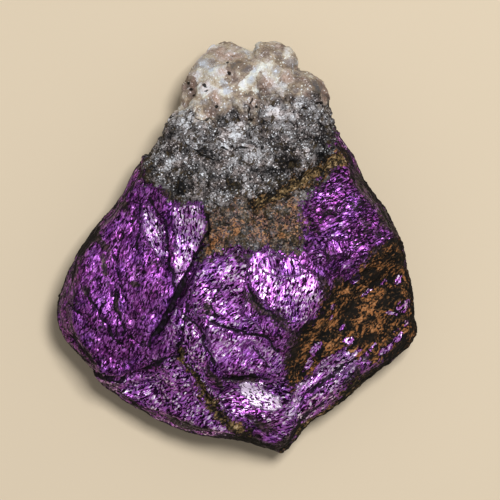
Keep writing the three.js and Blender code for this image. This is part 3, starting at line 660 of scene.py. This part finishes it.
class Graph:
    """Builds a material's nodes, one short call each. Every call gives back an output socket."""

    def __init__(self, name):
        self.material = bpy.data.materials.new(name)
        self.material.use_nodes = True
        self.tree = self.material.node_tree
        self.tree.nodes.clear()

    def plug(self, socket, value):
        """Links another node's output to an input, or sets the input to a constant."""
        if isinstance(value, bpy.types.NodeSocket):
            self.tree.links.new(value, socket)
        else:
            socket.default_value = value

    def node(self, kind, settings=None, **inputs):
        """Adds a node. Its inputs go by name, with _ for a space, or by number: i0 is the first."""
        made = self.tree.nodes.new(kind)
        for key, value in (settings or {}).items():
            setattr(made, key, value)
        for key, value in inputs.items():
            numbered = key[0] == "i" and key[1:].isdigit()
            self.plug(made.inputs[int(key[1:]) if numbered else key.replace("_", " ")], value)
        return made

    def math(self, operation, *values):
        """One value from two or more, joined from the first on."""
        joined = values[0]
        for value in values[1:]:
            joined = self.node(
                "ShaderNodeMath", {"operation": operation}, i0=joined, i1=value).outputs[0]
        return joined

    def add(self, *values):
        return self.math("ADD", *values)

    def times(self, *values):
        return self.math("MULTIPLY", *values)

    def largest(self, *values):
        return self.math("MAXIMUM", *values)

    def rest(self, share):
        """What a share leaves."""
        return self.math("SUBTRACT", 1.0, share)

    def sway(self, value, amount, middle=0.5):
        """How far a value is off its middle, made stronger or weaker."""
        return self.times(self.math("SUBTRACT", value, middle), amount)

    def span(self, value, low, high, to_low=0.0, to_high=1.0):
        """A smooth step from one value to another."""
        return self.node(
            "ShaderNodeMapRange", {"interpolation_type": "SMOOTHSTEP"}, Value=value, i1=low,
            i2=high, i3=to_low, i4=to_high).outputs[0]

    def blend(self, share, a, b):
        """The first value where the share is 0, the second where it is 1."""
        return self.node("ShaderNodeMix", {"data_type": "FLOAT"}, i0=share, i2=a, i3=b).outputs[0]

    def mix(self, share, a, b, blend="MIX"):
        """The first colour where the share is 0, the second where it is 1."""
        made = self.node("ShaderNodeMix", {"data_type": "RGBA", "blend_type": blend}, i0=share)
        for socket, colour in ((made.inputs[6], a), (made.inputs[7], b)):
            linked = isinstance(colour, bpy.types.NodeSocket)
            self.plug(socket, colour if linked else (*colour, 1))
        return made.outputs[2]

    def tinted(self, share, colour, tint):
        """A colour multiplied by a tint where the share is 1."""
        return self.mix(share, colour, self.mix(1.0, colour, tint, "MULTIPLY"))

    def ramp(self, value, stops):
        made = self.node("ShaderNodeValToRGB", None, Fac=value)
        elements = made.color_ramp.elements
        while len(elements) < len(stops):
            elements.new(0.5)
        for element, (position, colour) in zip(elements, stops):
            element.position = position
            element.color = (*colour, 1)
        return made.outputs["Color"]

    def attribute(self, name, output="Fac"):
        return self.node("ShaderNodeAttribute", {"attribute_name": name}).outputs[output]

    def vector(self, operation, a, **inputs):
        return self.node(
            "ShaderNodeVectorMath", {"operation": operation}, i0=a, **inputs).outputs[0]

    def places(self):
        """Object coordinates in millimetres."""
        coordinates = self.node("ShaderNodeTexCoord").outputs["Object"]
        return self.vector("SCALE", coordinates, Scale=1 / MM)

    def streaked(self, turn, amounts):
        """Object coordinates turned in plan, then scaled."""
        return self.stretched(self.node(
            "ShaderNodeVectorRotate", {"rotation_type": "Z_AXIS"}, Vector=self.places(),
            Angle=math.radians(-turn)).outputs[0], amounts)

    def stretched(self, vector, amounts):
        return self.vector("MULTIPLY", vector, i1=amounts)

    def bent(self, vector, scale, amount):
        """Coordinates pushed about by noise, so that cells get uneven borders."""
        push = self.node(
            "ShaderNodeTexNoise", None, Vector=vector, Scale=scale, Detail=2).outputs["Color"]
        return self.vector("ADD", vector, i1=self.stretched(push, (amount, amount, amount)))

    def noise(self, vector, scale, detail, roughness, distortion=0.0):
        return self.node(
            "ShaderNodeTexNoise", None, Vector=vector, Scale=scale, Detail=detail,
            Roughness=roughness, Distortion=distortion).outputs["Fac"]

    def cells(self, vector, scale, feature, output):
        return self.node(
            "ShaderNodeTexVoronoi", {"feature": feature}, Vector=vector,
            Scale=scale).outputs[output]

    def random(self, vector, scale, channel=0):
        """A value for each cell of a broken pattern."""
        return self.node(
            "ShaderNodeSeparateColor", None,
            Color=self.cells(vector, scale, "F1", "Color")).outputs[channel]

    def border(self, depth, pattern, reach, edge=0.2):
        """1 inside an area and 0 outside, its border broken up by a pattern."""
        return self.span(self.add(depth, self.sway(pattern, reach)), -edge, edge)

    def finish(self, **inputs):
        shader = self.node("ShaderNodeBsdfPrincipled", None, **inputs)
        self.node("ShaderNodeOutputMaterial", None, Surface=shader.outputs[0])
        return self.material


def foil_glints(g, way, painted_sheen, dashes, bent):
    """Painted light and shade: light and dark cells drawn out along the foil's striations, and its
    few brightest painted sparks.
    """
    # Facets along the striations, shorter ones that break them up, and long straight lines.
    facets = g.random(g.stretched(bent, (0.36, 1, 0.6)), 6)
    cross = g.random(g.stretched(bent, (0.4, 1, 0.6)), 5.4, 1)
    lines = g.random(g.stretched(way, (0.12, 1, 0.5)), 4.8, 1)
    plain = g.add(g.sway(facets, 1.3), g.sway(g.span(dashes, 0.36, 0.64), 0.24))
    short = g.add(plain, g.sway(cross, 0.5))
    ruling = g.add(g.sway(lines, 0.9), g.times(plain, 0.4))
    uneven = g.span(g.noise(g.places(), 0.5, 3, 0.6), 0.38, 0.62, 0.75, 1.25)
    sparkle = g.times(g.attribute("sparkle"), uneven)
    strength = g.times(sparkle, g.add(g.times(painted_sheen, 0.7), 0.6))
    glints = g.times(g.blend(g.attribute("ruled"), short, ruling), strength)
    sparks = g.times(g.span(cross, 0.76, 0.92), sparkle, g.span(painted_sheen, 0.1, 0.8, 0.16, 0.36))
    return facets, glints, sparks


def foil_finish(g, look, relief):
    """Crinkled satin purple with painted lilac glints, and a dark film between them that is partly
    grime and partly painted shade.
    """
    way = g.attribute("foil_way", "Vector")
    painted_sheen = g.attribute("painted_sheen")
    bent = g.bent(g.bent(way, 0.4, 0.6), 2.2, 0.4)
    dashes = g.noise(g.stretched(bent, (0.45, 1, 0.7)), 4.4, 2, 0.6, 0.6)
    facets, glints, sparks = foil_glints(g, way, painted_sheen, dashes, bent)
    folds = g.noise(way, 1, 4, 0.62, 0.4)
    shade = g.noise(g.places(), 0.35, 4, 0.6)
    # The tone holds the painted sheen and painted glints, and painted shade that makes raised
    # crinkles lighter and hollows darker.
    tone = g.add(g.sway(folds, 0.3), g.sway(shade, 0.3), g.sway(painted_sheen, 0.66, 0.45), 0.42,
                 g.times(relief, 0.07), glints)
    # Where the painted sheen is dull, the painted glints are capped, all but the painted sparks.
    brightest = g.add(g.times(painted_sheen, 0.6), g.sway(folds, 0.4), 0.46)
    tone = g.add(g.math("MINIMUM", tone, brightest), sparks)
    colour = g.ramp(tone, [
        (0.06, look.foil_shadow), (0.25, look.foil_deep), (0.46, look.foil_violet),
        (0.8, look.foil_lilac), (1.1, look.foil_white)])
    hue = g.ramp(g.add(g.sway(g.noise(way, 0.3, 3, 0.6), 2.2), 0.5), [
        (0.2, look.hue_indigo), (0.5, (1, 1, 1)), (0.85, look.hue_rose)])
    colour = g.tinted(g.span(tone, 0.5, 1, 0.7, 0.1), colour, hue)
    # The dark film: grime in patches, and painted shade between the glints, where the painted sheen
    # is dull and outside the purple areas.
    grime = g.add(g.sway(g.noise(g.places(), 0.75, 5, 0.72, 0.5), 1.7), g.sway(dashes, -0.7),
                  g.sway(painted_sheen, -0.42, 0.45))
    rim = g.add(g.attribute("rim"), g.sway(shade, 2), g.sway(dashes, 1.6))
    grime = g.largest(g.span(grime, 0.12, 0.34, 0, 0.75), g.span(rim, -0.5, -0.1, 0.8, 0))
    shine = g.times(g.rest(grime), g.span(painted_sheen, 0.7, 1.1, 0.75, 0.25))
    return g.mix(grime, colour, look.grime), g.blend(0.5, dashes, facets), shine


def quartz_finish(g, look, relief):
    """Broken quartz: grey, grainy and dark-seamed below, pinkish and smoother at the upper end."""
    place = g.places()
    bent = g.bent(place, 1.1, 0.9)
    # Broken faces from the largest to the smallest, the seams between them, and fine specks.
    blocks = g.random(bent, 0.3)
    grains = g.random(bent, 0.8)
    small = g.random(bent, 2, 1)
    seam = g.span(g.cells(bent, 0.8, "DISTANCE_TO_EDGE", "Distance"), 0, 0.07, 1, 0)
    specks = g.noise(place, 4.4, 2, 0.6)
    glitter = g.random(place, 5.6, 2)
    # Painted shade makes raised grains lighter and hollows darker, and the brightest cells of the
    # glitter are painted sparkles.
    steady = g.add(g.sway(g.noise(place, 0.3, 4, 0.6), 0.45), g.times(g.attribute("tone"), 0.7),
                   g.times(relief, 0.12), g.sway(blocks, 0.2))
    tone = g.add(steady, g.sway(grains, 0.26), g.sway(small, 0.24), g.sway(specks, 0.8), 0.46,
                 g.times(seam, -0.2), g.span(glitter, 0.9, 0.95, 0, 0.5),
                 g.span(glitter, 0.05, 0.14, -0.3, 0))
    grey = g.ramp(tone, [
        (0.12, look.quartz_dark), (0.36, look.quartz_grey), (0.6, look.quartz_light),
        (0.92, look.quartz_white)])
    # The pale quartz gets the same painted shade, and painted sparkles from the glitter.
    tone = g.add(steady, g.sway(blocks, 0.14), g.sway(grains, 0.12), g.sway(specks, 0.5), 0.53,
                 g.sway(g.noise(bent, 0.8, 3, 0.5), 0.4), g.span(glitter, 0.93, 0.96, 0, 0.4))
    pale = g.ramp(tone, [
        (0.1, look.quartz_grey), (0.34, look.pale_shade), (0.56, look.pale_quartz),
        (0.85, look.quartz_white)])
    hue = g.ramp(g.add(g.sway(g.noise(place, 0.42, 2, 0.5), 2.4), 0.5), [
        (0.1, look.hue_pink), (0.36, (1, 1, 1)), (0.6, look.hue_yellow), (0.85, look.hue_blue)])
    pale_share = g.border(g.attribute("pale"), g.noise(bent, 0.5, 4, 0.6), 8, 1.3)
    colour = g.mix(pale_share, grey, g.tinted(0.8, pale, hue))
    stain = g.times(g.span(g.noise(place, 0.55, 4, 0.65), 0.46, 0.62, 0, 0.45),
                    g.span(g.attribute("pale"), -0.5, 0.5, 1, 0.4))
    height = g.add(g.times(small, 0.5), g.times(specks, 0.5), g.times(grains, 0.4))
    return g.tinted(stain, colour, look.quartz_stain), height, glitter


def crust_finish(g, look, relief):
    """Rust, or ochre and olive, over a black-brown crust, streaked."""
    mottle = g.noise(g.streaked(CRUST_MOTTLE, (0.7, 1, 1)), 0.6, 6, 0.74)
    crumbs = g.random(g.streaked(CRUST_STREAKS, (0.6, 1, 1)), 4.6)
    fine = g.add(g.sway(crumbs, 0.6), g.sway(g.noise(g.places(), 3, 2, 0.6), 0.8))
    # Painted shade makes raised crumbs a little lighter and hollows darker.
    tone = g.add(g.sway(mottle, 2), fine, 0.28, g.times(g.attribute("rust"), 0.32),
                 g.times(relief, 0.06))
    rusty = g.ramp(tone, [
        (0.24, look.crust_black), (0.36, look.dark_brown), (0.48, look.brown),
        (0.64, look.rust), (1.05, look.pale_rust)])
    olive = g.ramp(tone, [
        (0.16, look.crust_black), (0.36, look.dark_brown), (0.5, look.olive),
        (0.72, look.ochre), (1.05, look.pale_ochre)])
    return g.mix(g.attribute("ochre"), rusty, olive), crumbs


def ruddy_finish(g, look, grey):
    """Reddish brown and drab stains over grey grains, with rusty spots."""
    place = g.places()
    grain = g.add(g.sway(g.random(place, 4.6), 1.3), g.sway(g.noise(place, 2.8, 2, 0.6), 0.8))
    cloud = g.sway(g.noise(place, 0.8, 4, 0.65), 2)
    stain = g.add(cloud, grain, 0.44)
    ruddy = g.ramp(stain, [
        (0.12, look.crust_black), (0.36, look.ruddy_dark), (0.64, look.ruddy),
        (1, look.pale_rust)])
    drab = g.ramp(stain, [
        (0.12, look.crust_black), (0.38, look.dark_brown), (0.66, look.olive),
        (1, look.pale_shade)])
    colour = g.mix(g.span(g.noise(place, 0.45, 3, 0.6), 0.44, 0.58), ruddy, drab)
    spots = g.add(g.attribute("rust"), cloud, g.times(grain, 0.6))
    rust = g.ramp(g.add(grain, 0.5), [
        (0.15, look.brown), (0.5, look.rust), (0.95, look.pale_rust)])
    return g.mix(g.span(spots, 0.32, 0.62, 0, 0.8), g.mix(0.2, colour, grey), rust)


def stone_material(look):
    """The stone's whole finish, shared out by what its vertices store."""
    g = Graph("purpurite_and_quartz")
    place = g.places()
    relief = g.attribute("relief")
    edges = g.noise(place, 1.1, 5, 0.72)
    foil, dashes, shine = foil_finish(g, look, relief)
    grainy, quartz_height, glitter = quartz_finish(g, look, relief)
    crusty, crust_height = crust_finish(g, look, relief)
    ruddy_colour = ruddy_finish(g, look, grainy)

    crust_edges = g.noise(g.streaked(CRUST_BORDER, (0.5, 1, 1)), 1.5, 5, 0.75)
    quartz = g.border(g.attribute("quartz"), edges, 5)
    crust = g.border(g.attribute("crust"), crust_edges, 5)
    ruddy = g.border(g.attribute("ruddy"), edges, 6, 0.7)
    lower = g.span(g.add(g.attribute("quartz"), g.sway(edges, 5)), 0.1, 1.6, 0.65, 0)
    ragged = g.times(g.add(g.sway(edges, 2), g.sway(dashes, 0.6)), g.blend(quartz, 1.0, 0.4))
    black = g.span(g.add(g.attribute("black"), ragged), 0.4, 0.56)
    smudge = g.add(g.attribute("smudge"), g.sway(edges, 2.4), g.sway(dashes, 1.4),
                   g.times(quartz, g.sway(g.random(place, 1.6), 1)),
                   g.span(g.attribute("pale"), -1.5, 1.5, 0, -0.8))
    smudge = g.times(g.span(smudge, 0.34, 0.62, 0, 0.92), g.span(glitter, 0.86, 0.93, 1, 0.5))
    film = g.times(g.span(dashes, 0.45, 0.75, 0, 0.6), g.rest(crust))

    colour = g.mix(quartz, foil, g.mix(lower, grainy, look.quartz_dark))
    colour = g.mix(ruddy, colour, ruddy_colour)
    colour = g.mix(crust, colour, crusty)
    colour = g.mix(smudge, colour, g.mix(film, look.smudge, look.olive))
    # Black veins, cracks and grains, and painted shade on the steep sides.
    colour = g.mix(g.times(black, 0.94), colour, look.crust_black)
    dull = g.largest(quartz, crust, ruddy, black, smudge)
    height = g.blend(crust, g.blend(quartz, dashes, quartz_height), crust_height)
    height = g.math("SUBTRACT", height, g.times(black, 0.25))
    bump = g.node("ShaderNodeBump", None, Strength=0.9, Distance=0.2 * MM, Height=height)
    roughness = g.blend(quartz, g.span(dashes, 0.3, 0.7, 0.5, 0.32),
                        g.span(glitter, 0.8, 0.95, 0.6, 0.2))
    roughness = g.blend(g.largest(crust, black), roughness, 0.85)
    return g.finish(Base_Color=colour, Metallic=g.times(g.rest(dull), shine), Roughness=roughness,
                    Normal=bump.outputs[0], Specular_IOR_Level=0.1)


def floor_material(look):
    g = Graph("pale_floor")
    shade = g.noise(g.places(), 0.02, 3, 0.5)
    dark = tuple(0.96 * c for c in look.floor)
    return g.finish(Base_Color=g.mix(shade, dark, tuple(look.floor)), Roughness=0.85)


def length_setting(name, text, default):
    return FloatProperty(name=name, description=text, default=default, min=0, unit="LENGTH")


class StoneSizes(bpy.types.PropertyGroup):
    """Sizes of the stone's fine relief."""

    mesh_step: FloatProperty(
        name="Mesh step", description="Size of the stone's faces", default=0.23 * MM,
        min=0.1 * MM, unit="LENGTH")
    faces_kept: FloatProperty(
        name="Faces kept", description="Share of the faces left once the underside is thinned out",
        default=0.65, min=0.1, max=1)
    smoothing: IntProperty(
        name="Smoothing", description="Rounds of smoothing before the fine relief", default=8,
        min=0)
    foil_depth: length_setting("Foil depth", "Relief of the purple foil", 0.18 * MM)
    grain_depth: length_setting("Grain depth", "Relief of the quartz grains", 0.42 * MM)
    quartz_swell: length_setting("Quartz swell", "How far the quartz stands out", 0.35 * MM)
    crumb_depth: length_setting("Crumb depth", "Relief of the weathered crust", 0.2 * MM)


class StoneLook(bpy.types.PropertyGroup):
    """Colours of the stone and the floor."""

    __annotations__ = {
        key: FloatVectorProperty(
            name=key.replace("_", " ").capitalize(), description=text, default=colour,
            subtype="COLOR", min=0, max=1)
        for key, (text, colour) in COLOURS.items()}


class StageSizes(bpy.types.PropertyGroup):
    """Camera and lights."""

    camera_distance: length_setting(
        "Camera distance", "From the camera to the stone's widest line", 0.4)
    key_power: FloatProperty(
        name="Key power", description="Main light in watts", default=2.5, min=0)
    key_size: length_setting("Key size", "Side of the main light", 0.11)
    surround: FloatProperty(
        name="Surround", description="Brightness of the light from all round", default=0.32, min=0)


class OBJECT_OT_purpurite_stone(bpy.types.Operator):
    """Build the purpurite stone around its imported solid"""

    bl_idname = "object.purpurite_stone"
    bl_label = "Purpurite Stone"
    bl_options = {"REGISTER", "UNDO"}

    def execute(self, context):
        sizes = context.scene.stone_sizes
        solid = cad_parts[SOLID]
        stone = solid.copy()
        stone.data = solid.data.copy()
        stone.name = STONE
        stone.parent = None
        for key in list(stone.keys()):
            del stone[key]
        context.collection.objects.link(stone)
        select_only(stone)
        bpy.ops.object.mode_set(mode="EDIT")
        bpy.ops.mesh.select_all(action="SELECT")
        bpy.ops.mesh.remove_doubles(threshold=WELD)
        bpy.ops.object.mode_set(mode="OBJECT")
        add_modifier(stone, "REMESH", "fine mesh", mode="VOXEL", voxel_size=sizes.mesh_step)
        mesh = stone.data
        below = stone.vertex_groups.new(name="underside")
        below.add([v.index for v in mesh.vertices if v.normal.z < UNDERSIDE_LIMIT], 1, "REPLACE")
        add_modifier(stone, "DECIMATE", "coarse underside", decimate_type="COLLAPSE",
                     ratio=sizes.faces_kept, vertex_group=below.name)
        add_modifier(stone, "SMOOTH", "worn edges", factor=0.5, iterations=sizes.smoothing)
        points = vectors(mesh.vertices, "co") / MM
        normals = vectors(mesh.vertex_normals, "vector")
        made_of = areas(points, normals)
        moved, made_of["relief"] = carve(points, normals, made_of, sizes)
        points += normals * moved[:, None]
        points = np.clip(points, np.array(CAD_BOX[0]) / MM, np.array(CAD_BOX[1]) / MM)
        mesh.vertices.foreach_set("co", (points * MM).ravel())
        mesh.update()
        for name, values in made_of.items():
            store(mesh, name, values)
        mesh.materials.clear()
        mesh.materials.append(stone_material(context.scene.stone_look))
        bpy.ops.object.shade_smooth()
        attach(stone, "root")
        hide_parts(SOLID)
        return {"FINISHED"}


class SCENE_OT_specimen_stage(bpy.types.Operator):
    """Set up the camera, the lights and the floor"""

    bl_idname = "scene.specimen_stage"
    bl_label = "Specimen Stage"
    bl_options = {"REGISTER", "UNDO"}

    def execute(self, context):
        scene = context.scene
        stage = scene.stage_sizes
        middle = PHOTO_SIZE / 2
        aim = Vector(((middle - ORIGIN_PIXEL[0]) * PIXEL, (ORIGIN_PIXEL[1] - middle) * PIXEL, 0))
        camera_height = WIDEST_HEIGHT + stage.camera_distance
        bpy.ops.object.camera_add(location=aim + Vector((0, 0, camera_height)), rotation=(0, 0, 0))
        camera = context.object
        camera.data.lens = camera.data.sensor_width * stage.camera_distance / (PHOTO_SIZE * PIXEL)
        camera.data.clip_start = CLIP_START
        scene.camera = camera
        bpy.ops.object.light_add(type="AREA", location=KEY_PLACE)
        key = context.object
        key.name = "key_light"
        key.rotation_euler = (aim - key.location).to_track_quat("-Z", "Y").to_euler()
        key.data.energy = stage.key_power
        key.data.size = stage.key_size
        world = bpy.data.worlds.new("surround")
        world.use_nodes = True
        background = world.node_tree.nodes["Background"]
        background.inputs["Color"].default_value = SURROUND_COLOUR
        background.inputs["Strength"].default_value = stage.surround
        scene.world = world
        bpy.ops.mesh.primitive_plane_add(size=FLOOR_SIZE)
        floor = context.object
        floor.name = "floor"
        floor.data.materials.append(floor_material(scene.stone_look))
        scene.view_settings.view_transform = "Standard"
        return {"FINISHED"}


class VIEW3D_PT_specimen(bpy.types.Panel):
    """Lists the specimen's parts and their settings"""

    bl_label = "Specimen"
    bl_space_type = "VIEW_3D"
    bl_region_type = "UI"
    bl_category = "Specimen"

    def draw(self, context):
        for operator, group in (
                (OBJECT_OT_purpurite_stone, context.scene.stone_sizes),
                (SCENE_OT_specimen_stage, context.scene.stage_sizes),
                (None, context.scene.stone_look)):
            box = self.layout.box()
            if operator:
                box.operator(operator.bl_idname)
            for name in group.__annotations__:
                box.prop(group, name)


CLASSES = (
    StoneSizes, StoneLook, StageSizes, OBJECT_OT_purpurite_stone, SCENE_OT_specimen_stage,
    VIEW3D_PT_specimen,
)


def register():
    for each in CLASSES:
        bpy.utils.register_class(each)
    bpy.types.Scene.stone_sizes = PointerProperty(type=StoneSizes)
    bpy.types.Scene.stone_look = PointerProperty(type=StoneLook)
    bpy.types.Scene.stage_sizes = PointerProperty(type=StageSizes)


def unregister():
    del bpy.types.Scene.stone_sizes, bpy.types.Scene.stone_look, bpy.types.Scene.stage_sizes
    for each in reversed(CLASSES):
        bpy.utils.unregister_class(each)


def main():
    register()
    bpy.ops.scene.specimen_stage()
    bpy.ops.object.purpurite_stone()


if __name__ == "__main__":
    main()
